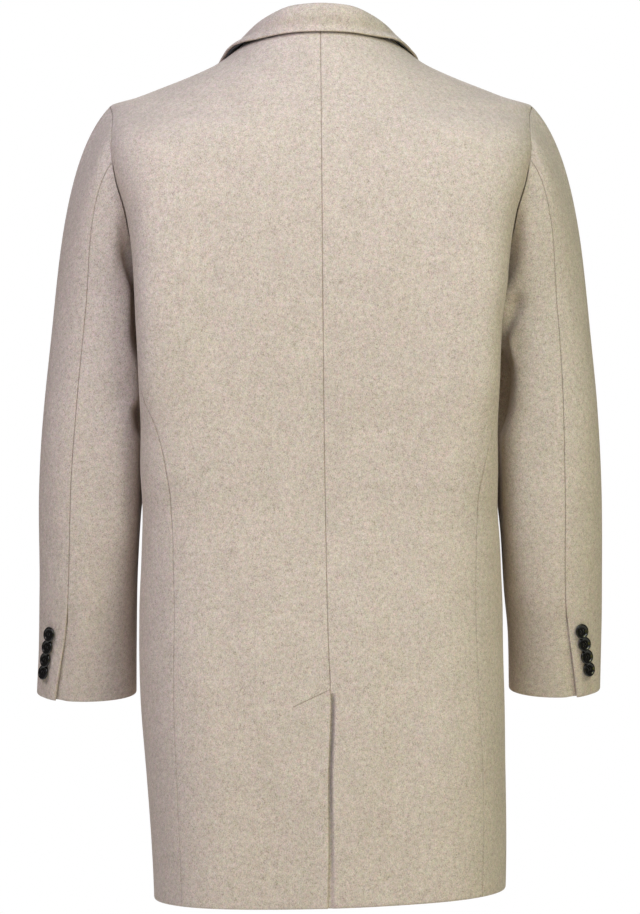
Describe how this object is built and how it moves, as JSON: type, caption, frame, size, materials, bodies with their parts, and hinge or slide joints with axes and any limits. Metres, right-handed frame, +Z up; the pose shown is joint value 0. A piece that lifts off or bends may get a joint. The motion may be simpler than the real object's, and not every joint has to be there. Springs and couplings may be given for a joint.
{
  "type": "short coat",
  "caption": "Filled-out short wool coat with a turned-down collar, notched lapels, two-piece sleeves with buttoned cuff vents, hip flaps and a back vent.",
  "frame": {"origin": "on the body's middle line at the height of the nape, inside the neck opening, where the coat hangs from shoulders or a hanger", "axes": "+Z up, the coat's front faces -Y, the wearer's left is +X"},
  "size_m": [0.6122, 0.2861, 0.9521],
  "materials": {
    "wool": "milled light beige melange wool with a soft short nap",
    "felt": "dark grey-blue undercollar felt",
    "horn": "near-black horn-look button, half gloss"
  },
  "bodies": {
    "root": {"back_left": "wool", "side_left": "wool", "front_left": "wool", "lapel_left": "wool", "top_sleeve_left": "wool", "under_sleeve_left": "wool", "pocket_flap_left": "wool", "back_right": "wool", "side_right": "wool", "front_right": "wool", "lapel_right": "wool", "top_sleeve_right": "wool", "under_sleeve_right": "wool", "pocket_flap_right": "wool", "collar_stand": "wool", "collar_fall": "wool", "undercollar": "felt", "sleeve_button_left_1": "horn", "sleeve_button_left_2": "horn", "sleeve_button_left_3": "horn", "sleeve_button_left_4": "horn", "sleeve_button_right_1": "horn", "sleeve_button_right_2": "horn", "sleeve_button_right_3": "horn", "sleeve_button_right_4": "horn", "front_button_1": "horn", "front_button_2": "horn", "front_button_3": "horn"}
  },
  "joints": []
}
